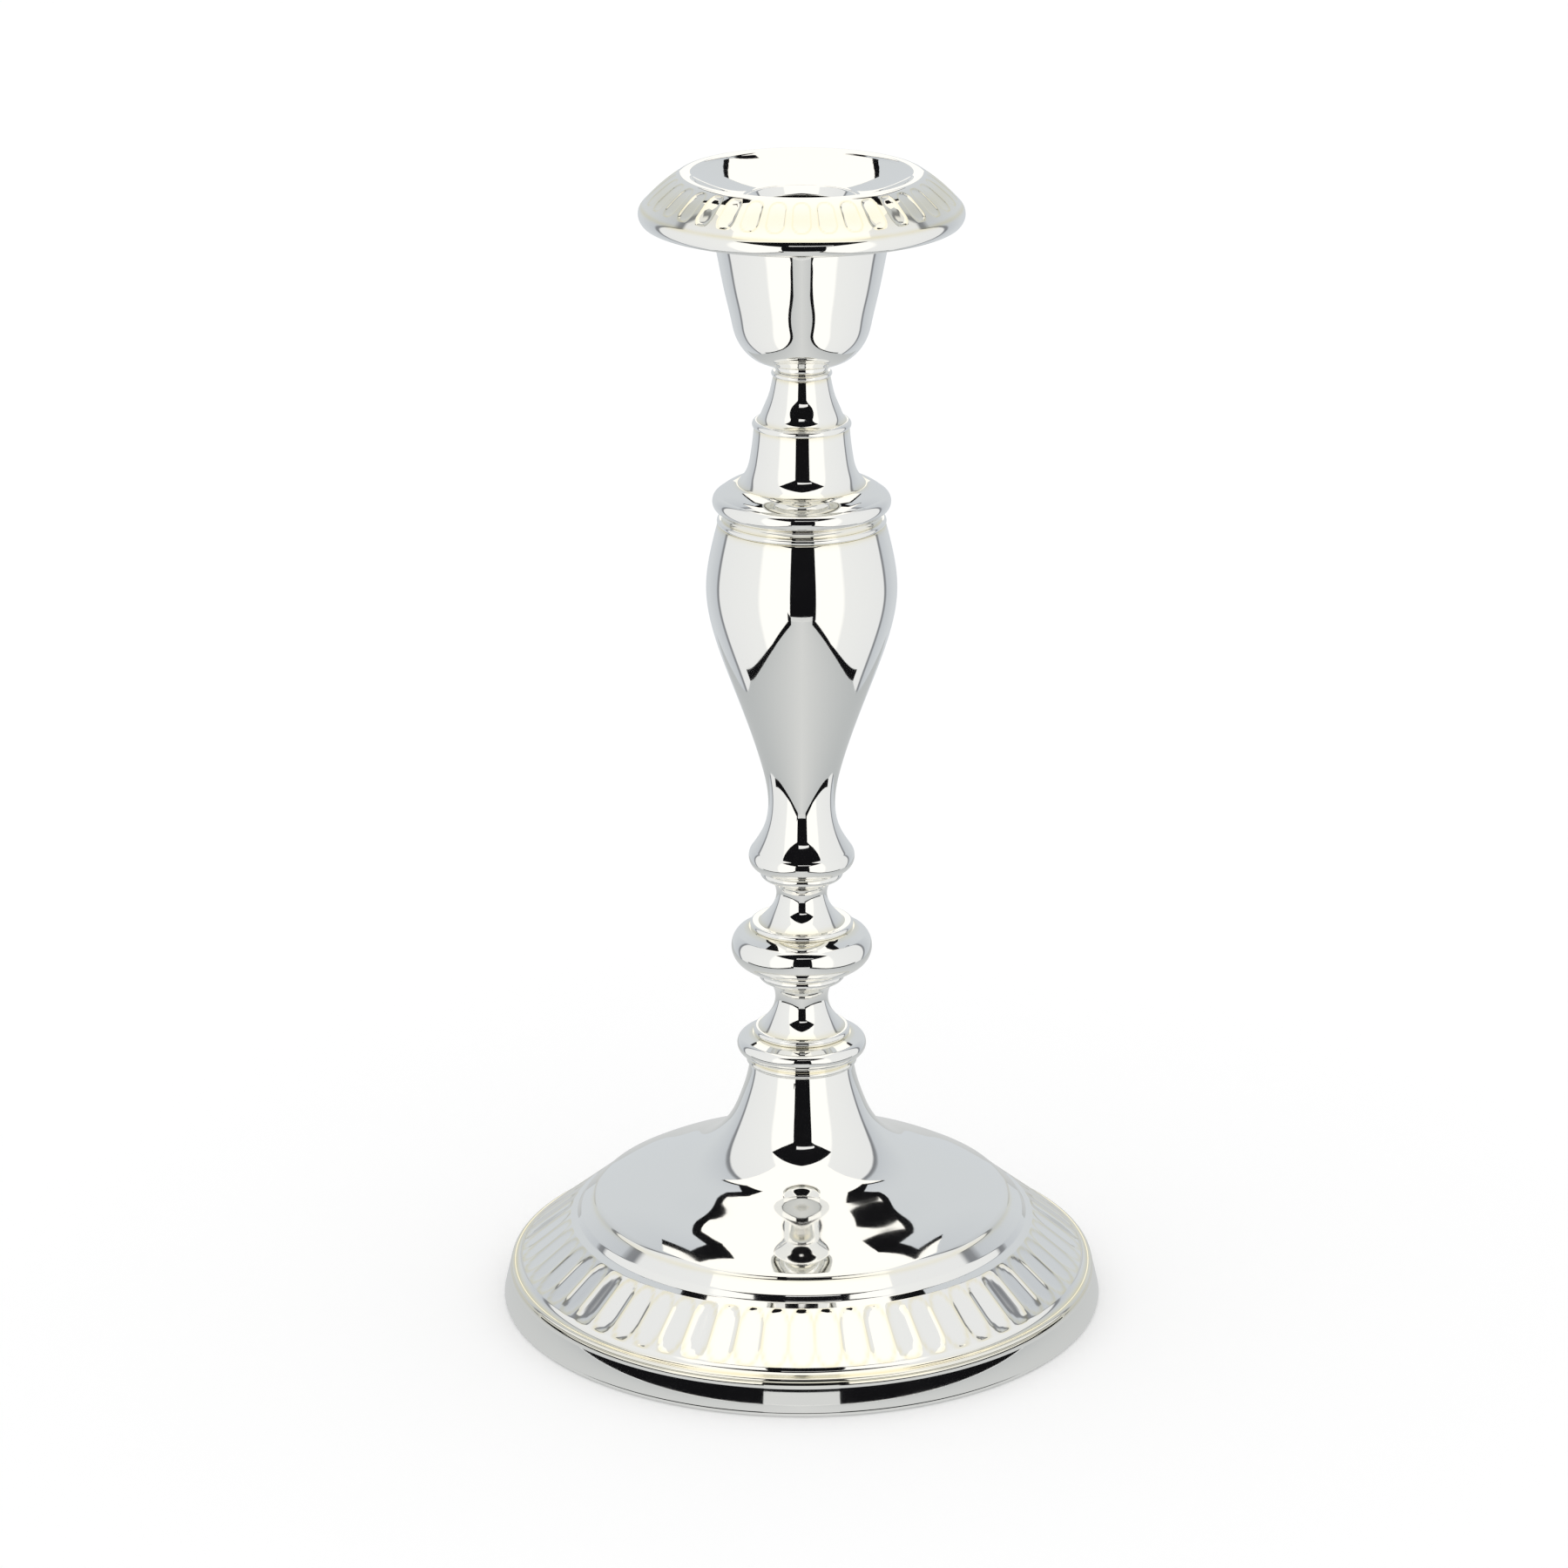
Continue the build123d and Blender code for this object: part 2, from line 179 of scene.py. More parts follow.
def outward(points):
    """Unit normals of a closed outline, pointing out of the metal."""
    along = np.roll(points, -1, axis=0) - np.roll(points, 1, axis=0)
    normal = np.column_stack([along[:, 1], -along[:, 0]])
    return normal / np.maximum(np.linalg.norm(normal, axis=1), 1e-9)[:, None]


def spin(name, node, outline, angles=None, sink=None, tarnish=None):
    """Spins an outline round Z into a mesh that stands for the CAD node.

    The outline runs up the outside, and closes on itself or starts and ends on the axis.
    sink gives how deep the surface is cut at each outline point and angle, in mm.
    tarnish gives how dull the silver is, from 0 to 1, at each outline point, or point and angle.
    """
    points = soften(outline)
    if angles is None:
        angles = np.arange(ROUND) * 2 * math.pi / ROUND
    rows, columns = len(points), len(angles)
    depth = np.zeros((rows, columns)) if sink is None else sink
    normal = outward(points)
    radius = points[:, :1] - depth * normal[:, :1]
    height = points[:, 1:] - depth * normal[:, 1:]
    places = np.stack([radius * np.cos(angles), radius * np.sin(angles), height + 0 * angles], axis=2) * MM
    on_axis = points[0, 0] == 0 and points[-1, 0] == 0
    i = np.arange(rows - 1 if on_axis else rows)[:, None]
    j = np.arange(columns)[None, :]
    up, on = (i + 1) % rows, (j + 1) % columns
    faces = np.stack([i * columns + j, i * columns + on, up * columns + on, up * columns + j], axis=2)
    mesh = bpy.data.meshes.new(name)
    mesh.from_pydata(places.reshape(-1, 3).tolist(), [], faces.reshape(-1, 4).tolist())
    dull = np.zeros(rows) if tarnish is None else tarnish
    if dull.ndim == 1:
        dull = np.repeat(dull[:, None], columns, axis=1)
    layer = mesh.attributes.new("tarnish", "FLOAT", "POINT")
    layer.data.foreach_set("value", dull.ravel().astype(np.float32))
    if on_axis:
        weld = bmesh.new()
        weld.from_mesh(mesh)
        bmesh.ops.remove_doubles(weld, verts=weld.verts, dist=1e-7)
        weld.to_mesh(mesh)
        weld.free()
    mesh.polygons.foreach_set("use_smooth", [True] * len(mesh.polygons))
    mesh.update()
    piece = bpy.data.objects.new(name, mesh)
    bpy.context.collection.objects.link(piece)
    body = next(b for b, nodes in frame["record"]["behaviour"]["bodies"].items() if node in nodes)
    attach(piece, body)
    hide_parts(node)
    return piece


def section(first, outer, last, bore=ROD_BORE):
    """A closed outline: the outside curves, flat ends and the rod hole."""
    inside = line(last, (bore, last[1]), (bore, first[1]), first)
    return closed(*outer, inside)[0]


def bead(node, foot, widest, neck):
    """A half-round ring as high as its CAD node."""
    first, last = (foot, low(node)), (neck, high(node))
    middle = (widest, (first[1] + last[1]) / 2)
    return section(first, [arc(first, middle, last, spacing=0.15)], last)


def dull_near(points, *spots):
    """Tarnish left by the polishing cloth: (radius, height, reach, amount) for each crease."""
    dull = np.zeros(len(points))
    for radius, height, reach, amount in spots:
        distance = np.hypot(points[:, 0] - radius, points[:, 1] - height)
        dull = np.maximum(dull, amount * np.exp(-(distance / reach) ** 2))
    return dull


# ---- materials ----------------------------------------------------------------


def node_material(name):
    material = bpy.data.materials.new(name)
    material.use_nodes = True
    tree = material.node_tree
    tree.nodes.clear()
    output = tree.nodes.new("ShaderNodeOutputMaterial")
    shader = tree.nodes.new("ShaderNodeBsdfPrincipled")
    tree.links.new(shader.outputs[0], output.inputs[0])
    return material, tree, shader


def noise(tree, scale, detail=4.0, roughness=0.55, stretch=(1, 1, 1)):
    """A noise texture on the piece's own coordinates."""
    place = tree.nodes.new("ShaderNodeTexCoord")
    mapping = tree.nodes.new("ShaderNodeMapping")
    mapping.inputs["Scale"].default_value = stretch
    texture = tree.nodes.new("ShaderNodeTexNoise")
    texture.inputs["Scale"].default_value = scale
    texture.inputs["Detail"].default_value = detail
    texture.inputs["Roughness"].default_value = roughness
    tree.links.new(place.outputs["Object"], mapping.inputs["Vector"])
    tree.links.new(mapping.outputs["Vector"], texture.inputs["Vector"])
    return texture.outputs["Fac"]


def remap(tree, value, low_in, high_in, low_out, high_out):
    node = tree.nodes.new("ShaderNodeMapRange")
    limits = {"From Min": low_in, "From Max": high_in, "To Min": low_out, "To Max": high_out}
    for name, number in limits.items():
        node.inputs[name].default_value = number
    tree.links.new(value, node.inputs["Value"])
    return node.outputs["Result"]


def multiply(tree, a, b):
    node = tree.nodes.new("ShaderNodeMath")
    node.operation = "MULTIPLY"
    node.use_clamp = True
    tree.links.new(a, node.inputs[0])
    tree.links.new(b, node.inputs[1])
    return node.outputs[0]


def blend_colours(tree, factor, first, second):
    node = tree.nodes.new("ShaderNodeMix")
    node.data_type = "RGBA"
    node.inputs["A"].default_value = (*first, 1)
    node.inputs["B"].default_value = (*second, 1)
    tree.links.new(factor, node.inputs["Factor"])
    return node.outputs["Result"]


def bump(tree, shader, height, distance, strength):
    node = tree.nodes.new("ShaderNodeBump")
    node.inputs["Distance"].default_value = distance
    node.inputs["Strength"].default_value = strength
    tree.links.new(height, node.inputs["Height"])
    tree.links.new(node.outputs["Normal"], shader.inputs["Normal"])


def silver():
    """Mirror-polished plate: soft clouding in the gloss, and yellow left in the creases."""
    material, tree, shader = node_material("silver_plate")
    shader.inputs["Metallic"].default_value = 1.0
    clouds = noise(tree, 90.0, detail=5.0, roughness=0.6)
    attribute = tree.nodes.new("ShaderNodeAttribute")
    attribute.attribute_name = "tarnish"
    amount = multiply(tree, attribute.outputs["Fac"], remap(tree, clouds, 0.3, 0.7, 0.7, 1.2))
    colour = blend_colours(tree, amount, (0.965, 0.958, 0.93), (0.93, 0.86, 0.62))
    tree.links.new(colour, shader.inputs["Base Color"])
    tree.links.new(remap(tree, clouds, 0.3, 0.7, 0.02, 0.05), shader.inputs["Roughness"])
    return material


def steel():
    """Zinc-plated steel of the tie rod, nuts, washers and bottom plate."""
    material, tree, shader = node_material("zinc_steel")
    shader.inputs["Metallic"].default_value = 1.0
    patches = noise(tree, 220.0, detail=6.0, roughness=0.7)
    colour = blend_colours(tree, patches, (0.48, 0.48, 0.50), (0.70, 0.69, 0.66))
    tree.links.new(colour, shader.inputs["Base Color"])
    tree.links.new(remap(tree, patches, 0.3, 0.7, 0.25, 0.5), shader.inputs["Roughness"])
    return material


def iron():
    """Rough grey casting of the weight."""
    material, tree, shader = node_material("cast_iron")
    shader.inputs["Metallic"].default_value = 0.7
    grains = noise(tree, 500.0, detail=8.0, roughness=0.7)
    colour = blend_colours(tree, grains, (0.05, 0.05, 0.055), (0.16, 0.15, 0.14))
    tree.links.new(colour, shader.inputs["Base Color"])
    tree.links.new(remap(tree, grains, 0.3, 0.7, 0.6, 0.9), shader.inputs["Roughness"])
    bump(tree, shader, grains, 0.0004, 0.6)
    return material


def felt():
    """Green baize with matted fibres."""
    material, tree, shader = node_material("green_felt")
    shader.inputs["Sheen Weight"].default_value = 0.6
    shader.inputs["Sheen Roughness"].default_value = 0.5
    fibres = noise(tree, 2500.0, detail=6.0, roughness=0.8, stretch=(1, 0.3, 1))
    colour = blend_colours(tree, fibres, (0.012, 0.06, 0.025), (0.05, 0.17, 0.08))
    tree.links.new(colour, shader.inputs["Base Color"])
    tree.links.new(remap(tree, fibres, 0.3, 0.7, 0.85, 1.0), shader.inputs["Roughness"])
    bump(tree, shader, fibres, 0.0003, 0.8)
    return material


SILVER = silver()


def polished(node, outline, **shape):
    """A silver-plated piece spun from its outline."""
    piece = spin(node + "_polished", node, outline, **shape)
    piece.data.materials.append(SILVER)


# ---- flutes -------------------------------------------------------------------


def flute_angles(count, across):
    """Angles round a fluted rim: the places across one flute, repeated round it."""
    across = np.asarray(across)
    return ((np.arange(count)[:, None] + across[None, :] / 2) * 2 * math.pi / count).ravel()


def channel_places(points, first, last, angles, count, land, cap):
    """How far each place is from the middle line of a round-ended channel; its edge is at 1.

    The channels run between two outline points. land is the share of the pitch left flat
    between them, and cap how long each rounded end is, as a share of the half width.
    """
    places = np.full((len(points), len(angles)), 9.0)
    run = points[first:last + 1]
    along = np.concatenate([[0], np.cumsum(np.hypot(*np.diff(run, axis=0).T))])
    pitch = 2 * math.pi / count
    off = (angles + pitch / 2) % pitch - pitch / 2
    for row, (radius, _) in enumerate(run):
        half = radius * pitch / 2 * (1 - land)
        end = min(along[row], along[-1] - along[row])
        toward = max(0.0, 1 - end / (half * cap))
        places[first + row] = np.hypot(radius * off / half, toward)
    return places


def channels(places, depth, flat):
    """Depth of the cut; a higher flat gives a flatter floor with steeper walls."""
    return depth * np.clip(1 - np.minimum(places, 1) ** (2 * flat), 0, None)


def channel_edges(places, width, amount):
    """Tarnish caught along the edges of the channels."""
    return amount * np.exp(-((places - 1) / width) ** 2)


# ---- foot ---------------------------------------------------------------------


def base_shell():
    bottom, top = low("base_shell"), high("base_shell")
    neck_top, dome_edge, step = (11.2, top), (45.2, 22.8), (45.5, 22.2)
    flutes_in, flutes_out = (50.7, 18.0), (61.4, 9.3)
    groove, ring, skirt_top = (62.9, 8.0), (63.85, 7.1), (64.15, 5.9)
    skirt_edge, skirt_bottom = (65.35, 0.9), (65.2, bottom)
    outline, starts = closed(
        arc(skirt_bottom, (65.4, 0.45), skirt_edge, spacing=0.3),
        arc(skirt_edge, (64.85, 3.2), skirt_top, spacing=0.8),
        arc(skirt_top, (64.05, 6.6), ring, spacing=0.25),
        arc(ring, (63.6, 7.8), groove, spacing=0.3),
        arc(groove, (62.0, 8.4), flutes_out, spacing=0.4),
        line(flutes_out, flutes_in, spacing=0.4),
        line(flutes_in, (49.2, 18.7), (48.3, 20.0), step, spacing=0.3),
        line(step, dome_edge, spacing=0.3),
        spline(dome_edge, (40.0, 25.6), (34.0, 28.2), (29.0, 30.4), (24.2, 32.6), (20.6, 35.0), (17.8, 37.7),
               (15.4, 41.1), (13.4, 45.7), (12.0, 50.1), neck_top, spacing=1.1),
        line(neck_top, (ROD_BORE, top), (ROD_BORE, top - 3), (9.8, top - 3), spacing=30),
        spline((9.8, top - 3), (11.6, 45.7), (13.9, 40.2), (19.4, 33.4), (28.3, 28.7), (44.0, 20.8),
               spacing=6),
        line((44.0, 20.8), (60.2, 7.4), (63.2, 2.3), (63.85, 2.3), (63.85, bottom), skirt_bottom, spacing=30),
    )
    across = (-1, -0.95, -0.8, -0.5, -0.2, 0.2, 0.5, 0.8, 0.95)
    angles = flute_angles(BASE_FLUTES, across)
    places = channel_places(outline, starts[5], starts[6], angles, BASE_FLUTES, land=0.04, cap=1.8)
    dull = dull_near(outline, (*groove, 0.7, 0.9), (*ring, 0.5, 0.6), (*step, 0.6, 0.4))
    dull = np.maximum(dull[:, None], channel_edges(places, 0.12, 0.7))
    polished("base_shell", outline, angles=angles, sink=channels(places, 0.17, 4), tarnish=dull)


def felt_pad():
    edge, top = high_radius("felt_pad"), high("felt_pad")
    outline = join([
        line((0, 0), (edge - 0.4, 0), spacing=4),
        arc((edge - 0.4, 0), (edge - 0.1, 0.12), (edge, 0.5)),
        line((edge, 0.5), (edge, top), (0, top), spacing=4),
    ])
    piece = spin("felt_pad_baize", "felt_pad", outline)
    piece.data.materials.append(felt())


# ---- stem ---------------------------------------------------------------------


def base_collar():
    bottom, top = low("base_collar"), high("base_collar")
    first, fillet_top, last = (11.5, bottom), (11.5, bottom + 1.4), (10.6, top)
    outer = [
        arc(first, (12.0, bottom + 0.7), fillet_top, spacing=0.2),
        line(fillet_top, (12.8, 56.4)),
        arc((12.8, 56.4), (13.97, 58.4), (12.9, 60.0), spacing=0.3),
        line((12.9, 60.0), last),
    ]
    outline = section(first, outer, last)
    polished("base_collar", outline, tarnish=dull_near(outline, (*fillet_top, 0.5, 0.6), (*last, 0.5, 0.5)))


def lower_spool():
    bottom, top = low("lower_spool"), high("lower_spool")
    first, last = (9.5, bottom), (8.5, top)
    side = spline(first, (6.85, 65.2), (5.7, 68.9), (6.6, 71.9), last, spacing=0.3)
    outline = section(first, [side], last)
    polished("lower_spool", outline, tarnish=dull_near(outline, (*first, 0.9, 0.5), (*last, 0.9, 0.5)))


def knop():
    bottom, top = low("knop"), high("knop")
    first, underside, shoulder, last = (9.4, bottom), (13.5, 77.3), (13.8, 83.9), (11.4, top)
    outer = [
        arc(first, (11.6, 76.1), underside),
        arc(underside, (15.15, 80.6), shoulder, spacing=0.3),
        line(shoulder, last),
    ]
    outline = section(first, outer, last)
    polished("knop", outline, tarnish=dull_near(outline, (*first, 0.8, 0.5), (*last, 0.6, 0.5)))


def upper_spool():
    bottom, top = low("upper_spool"), high("upper_spool")
    first, last = (9.4, bottom), (7.7, top)
    side = spline(first, (7.1, 88.7), (5.45, 92.4), (6.1, 95.1), last, spacing=0.3)
    outline = section(first, [side], last)
    polished("upper_spool", outline, tarnish=dull_near(outline, (*first, 0.9, 0.5), (*last, 0.9, 0.5)))


def baluster_body():
    bottom, top = low("baluster_body"), high("baluster_body")
    first, bead_top, last = (9.2, bottom), (10.6, 103.3), (17.7, top)
    ceiling, floor = top - 1.5, 103.6
    outline = closed(
        arc(first, (11.35, 101.2), bead_top, spacing=0.3),
        spline(bead_top, (8.1, 107.7), (7.15, 113.0), (8.65, 122.2), (12.2, 133.2), (15.8, 143.0),
               (18.9, 152.6), (20.15, 161.2), (19.4, 168.1), last, spacing=0.8),
        line(last, (ROD_BORE, top), (ROD_BORE, ceiling), (16.4, ceiling), spacing=8),
        spline((16.4, ceiling), (18.6, 161.2), (17.4, 152.6), (10.7, 133.2), (5.6, 113.0), (5.6, 107.0),
               spacing=4),
        line((5.6, 107.0), (4.6, floor), (ROD_BORE, floor), (ROD_BORE, bottom), first, spacing=8),
    )[0]
    polished("baluster_body", outline, tarnish=dull_near(outline, (*first, 0.8, 0.6), (*last, 0.6, 0.5)))


def shoulder_disc():
    bottom, top = low("shoulder_disc"), high("shoulder_disc")
    first, underside, crown, last = (16.9, bottom), (17.7, 178.4), (17.6, 182.0), (13.6, top)
    outline = closed(
        arc(first, (17.1, 177.7), underside, spacing=0.2),
        arc(underside, (18.75, 180.3), crown, spacing=0.25),
        arc(crown, (15.9, 183.2), last, spacing=0.4),
        line(last, (ROD_BORE, top), (ROD_BORE, 179.6), (15.2, 179.6), (15.2, bottom), first, spacing=8),
    )[0]
    polished("shoulder_disc", outline, tarnish=dull_near(outline, (*first, 0.8, 0.6), (*last, 0.6, 0.4)))


def lower_bell():
    bottom, top = low("lower_bell"), high("lower_bell")
    first, last = (13.5, bottom), (10.0, top)
    side = spline(first, (11.9, 186.1), (10.7, 190.2), (10.2, 194.0), last, spacing=0.4)
    outline = section(first, [side], last)
    polished("lower_bell", outline, tarnish=dull_near(outline, (*first, 0.8, 0.4), (*last, 0.6, 0.6)))


def upper_bell():
    bottom, top = low("upper_bell"), high("upper_bell")
    first, last = (9.5, bottom), (5.95, top)
    side = spline(first, (8.8, 198.5), (8.2, 199.8), (7.0, 202.7), (6.27, 205.6), last, spacing=0.35)
    outline = section(first, [side], last)
    polished("upper_bell", outline, tarnish=dull_near(outline, (*first, 0.8, 0.5), (*last, 0.6, 0.6)))


# ---- cup and nozzle -----------------------------------------------------------


def candle_cup():
    bottom, top = low("candle_cup"), high("candle_cup")
    foot, rim, floor = (6.4, bottom), (18.8, top), bottom + 1.8
    outline = closed(
        spline(foot, (9.8, 211.0), (12.35, 213.3), (13.8, 215.9), (14.7, 219.5), (15.95, 225.0),
               (17.4, 232.4), (18.5, 239.0), rim, spacing=0.6),
        line(rim, (17.4, top), (17.4, 241.0), (17.0, 241.0), spacing=2),
        spline((17.0, 241.0), (16.1, 232.4), (14.6, 225.0), (13.4, 219.5), (12.6, 216.6),
               (11.2, 214.2), (9.2, 212.4), (7.2, floor), spacing=1.2),
        line((7.2, floor), (ROD_BORE, floor), (ROD_BORE, bottom), foot, spacing=4),
    )[0]
    polished("candle_cup", outline, tarnish=dull_near(outline, (*foot, 1.0, 0.6)))


def cup_liner():
    bottom, top = low("cup_liner"), high("cup_liner")
    sleeve, flange, ledge = (12.3, 13.2), 17.35, top - 1.0
    polished("cup_liner", closed(line(
        (sleeve[0], bottom), (sleeve[1], bottom), (sleeve[1], ledge), (flange, ledge),
        (flange, top), (sleeve[0], top), (sleeve[0], bottom), spacing=2.5,
    ))[0])


def candle_socket():
    bottom, top = low("candle_socket"), high("candle_socket")
    inside, outside, flange, under = 10.2, 11.8, 14.8, top - 1.0
    mouth, floor = (11.4, top), bottom + 0.8
    outline = join([
        line((0, bottom), (outside, bottom), (outside, under - 0.8), (flange, under - 0.8), (flange, under),
             (outside, under), (outside, top), spacing=2.0),
        line((outside, top), mouth, spacing=0.2),
        line(mouth, (inside, top - 1.7), spacing=0.3),
        line((inside, top - 1.7), (inside, floor), (0, floor), spacing=1.0),
    ])
    polished("candle_socket", outline, tarnish=dull_near(outline, (inside, floor, 6.0, 0.8)))


def drip_pan():
    top = high("drip_pan")
    hole, mouth, under = 11.85, high("candle_socket"), high("candle_socket") - 1.0
    crest_in, crest_out = (22.4, top - 0.65), (25.8, top - 0.55)
    flutes_out, lip_top = (31.95, 244.35), (33.1, 243.15)
    lip_bottom, lip_inside = (32.9, 239.8), (32.0, 240.6)
    outline, starts = closed(
        line((hole, under), (15.5, under), spacing=3),
        line((15.5, under), (23.3, 248.3), spacing=1.5),
        arc((23.3, 248.3), (24.2, 248.5), (25.1, 248.0), spacing=0.8),
        arc((25.1, 248.0), (29.3, 244.9), lip_inside, spacing=1.2),
        arc(lip_inside, (32.2, 239.95), lip_bottom, spacing=0.25),
        arc(lip_bottom, (33.7, 241.4), lip_top, spacing=0.25),
        line(lip_top, flutes_out, spacing=0.4),
        arc(flutes_out, (29.4, 246.75), crest_out, spacing=0.3),
        arc(crest_out, (24.3, top), crest_in, spacing=0.35),
        arc(crest_in, (17.3, 246.7), (hole, mouth), spacing=0.6),
        line((hole, mouth), (hole, under), spacing=1.0),
    )
    across = (-1, -0.8, -0.73, -0.68, -0.6, -0.45, -0.2, 0.2, 0.45, 0.6, 0.68, 0.73, 0.8)
    angles = flute_angles(PAN_FLUTES, across)
    places = channel_places(outline, starts[7], starts[8], angles, PAN_FLUTES, land=0.29, cap=1.2)
    dull = dull_near(outline, (*lip_top, 0.5, 0.7), (29.5, 246.9, 3.5, 0.5))
    dull = np.maximum(dull[:, None], channel_edges(places, 0.14, 0.85))
    polished("drip_pan", outline, angles=angles, sink=channels(places, 0.18, 4), tarnish=dull)


# ---- everything together ------------------------------------------------------


def high_radius(node):
    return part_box(node)[1].x / MM


BEADS = {
    "collar_ring": (10.0, 10.45, 9.9),
    "knop_lower_ring": (8.8, 9.4, 9.0),
    "knop_upper_ring": (10.7, 11.1, 10.2),
    "baluster_ring": (8.3, 8.9, 8.6),
    "shoulder_ring": (17.3, 17.8, 17.2),
    "bell_ring": (10.2, 10.35, 9.5),
    "neck_bead": (5.9, 6.35, 5.7),
    "cup_collar": (5.2, 5.7, 5.6),
}

felt_pad()
base_shell()
base_collar()
lower_spool()
knop()
upper_spool()
baluster_body()
shoulder_disc()
lower_bell()
upper_bell()
candle_cup()
cup_liner()
candle_socket()
drip_pan()
for node, (foot, widest, neck) in BEADS.items():
    polished(node, bead(node, foot, widest, neck))

STEEL = steel()
STEEL_NODES = (
    "tie_rod", "base_washer", "lock_washer", "base_nut", "cup_washer", "cup_nut", "base_cover_plate",
)
for node in STEEL_NODES:
    frame["nodes"][node].data.materials.clear()
    frame["nodes"][node].data.materials.append(STEEL)
frame["nodes"]["base_weight"].data.materials.clear()
frame["nodes"]["base_weight"].data.materials.append(iron())

# ---- studio -------------------------------------------------------------------
# A pale light tent: bright front walls either side of a dark camera slit, cooler back
# wall, a wide ceiling softbox between two dark flaps, and a grey table board. Only
# polished metal sees these; the floor and the view itself see plain white. Metres.


def floor():
    reach, below = 3.0, -0.0002
    corners = [(-reach, -reach, below), (reach, -reach, below), (reach, reach, below), (-reach, reach, below)]
    mesh = bpy.data.meshes.new("floor")
    mesh.from_pydata(corners, [], [(0, 1, 2, 3)])
    plane = bpy.data.objects.new("floor", mesh)
    bpy.context.collection.objects.link(plane)
    material, tree, shader = node_material("pale_floor")
    shader.inputs["Roughness"].default_value = 0.9
    shader.inputs["Specular IOR Level"].default_value = 0.0
    grain = noise(tree, 3.0)
    pale = blend_colours(tree, grain, (0.93, 0.93, 0.93), (0.95, 0.95, 0.95))
    tree.links.new(pale, shader.inputs["Base Color"])
    mesh.materials.append(material)
    plane.visible_glossy = False


def glow(name, colour, side_colour=None, reach=0.16):
    """Light of one colour, or one that fades to side_colour at reach metres either side."""
    material = bpy.data.materials.new(name)
    material.use_nodes = True
    tree = material.node_tree
    tree.nodes.clear()
    output = tree.nodes.new("ShaderNodeOutputMaterial")
    emission = tree.nodes.new("ShaderNodeEmission")
    emission.inputs["Color"].default_value = (*colour, 1)
    if side_colour:
        place = tree.nodes.new("ShaderNodeTexCoord")
        split = tree.nodes.new("ShaderNodeSeparateXYZ")
        aside = tree.nodes.new("ShaderNodeMath")
        aside.operation = "ABSOLUTE"
        tree.links.new(place.outputs["Object"], split.inputs[0])
        tree.links.new(split.outputs["X"], aside.inputs[0])
        fade = remap(tree, aside.outputs[0], 0, reach, 0, 1)
        tree.links.new(blend_colours(tree, fade, colour, side_colour), emission.inputs["Color"])
    tree.links.new(emission.outputs[0], output.inputs[0])
    return material


def card(name, corners, colour, faces=(), side_colour=None):
    """A flat studio card that only shows in reflections; corners in metres."""
    mesh = bpy.data.meshes.new(name)
    mesh.from_pydata(corners, [], faces or [tuple(range(len(corners)))])
    piece = bpy.data.objects.new(name, mesh)
    bpy.context.collection.objects.link(piece)
    mesh.materials.append(glow(name, colour, side_colour))
    piece.visible_camera = False
    piece.visible_diffuse = False
    piece.visible_shadow = False


def tent():
    """The tent's walls as a world: brightness by compass direction, white for the floor and view."""
    world = bpy.data.worlds.new("light_tent")
    bpy.context.scene.world = world
    world.use_nodes = True
    tree = world.node_tree
    tree.nodes.clear()
    place = tree.nodes.new("ShaderNodeTexCoord")
    level = tree.nodes.new("ShaderNodeVectorMath")
    level.operation = "MULTIPLY"
    level.inputs[1].default_value = (1, 1, 0)
    unit = tree.nodes.new("ShaderNodeVectorMath")
    unit.operation = "NORMALIZE"
    split = tree.nodes.new("ShaderNodeSeparateXYZ")
    tree.links.new(place.outputs["Generated"], level.inputs[0])
    tree.links.new(level.outputs[0], unit.inputs[0])
    tree.links.new(unit.outputs[0], split.inputs[0])
    across = remap(tree, split.outputs["Y"], -1, 1, 0, 1)
    ramp = tree.nodes.new("ShaderNodeValToRGB")
    tree.links.new(across, ramp.inputs[0])
    stops = [
        (50, (1.06, 1.055, 1.03)),
        (54, (0.86, 0.87, 0.87)),
        (116, (0.82, 0.83, 0.84)),
        (118.5, (0.22, 0.23, 0.25)),
        (121, (0.25, 0.26, 0.28)),
        (124, (0.55, 0.58, 0.62)),
        (150, (0.64, 0.67, 0.70)),
    ]
    ends = ramp.color_ramp.elements
    ends[0].position, ends[1].position = 0, 1
    ends[0].color, ends[1].color = (*stops[0][1], 1), (*stops[-1][1], 1)
    for azimuth, colour in stops:
        stop = ends.new((1 - math.cos(math.radians(azimuth))) / 2)
        stop.color = (*colour, 1)
    studio = tree.nodes.new("ShaderNodeBackground")
    tree.links.new(ramp.outputs[0], studio.inputs["Color"])
    plain = tree.nodes.new("ShaderNodeBackground")
    plain.inputs["Color"].default_value = (1, 1, 1, 1)
    plain.inputs["Strength"].default_value = 1.08
    rays = tree.nodes.new("ShaderNodeLightPath")
    mix = tree.nodes.new("ShaderNodeMixShader")
    output = tree.nodes.new("ShaderNodeOutputWorld")
    tree.links.new(rays.outputs["Is Glossy Ray"], mix.inputs[0])
    tree.links.new(plain.outputs[0], mix.inputs[1])
    tree.links.new(studio.outputs[0], mix.inputs[2])
    tree.links.new(mix.outputs[0], output.inputs[0])


BLACK = (0.006, 0.006, 0.007)
BOARD = (0.67, 0.68, 0.68)
# Painted shade: the table board's sides are given a darker grey than its middle.
BOARD_SHADED_SIDES = (0.49, 0.51, 0.52)
SOFT_WHITE = (1.1, 1.08, 1.03)


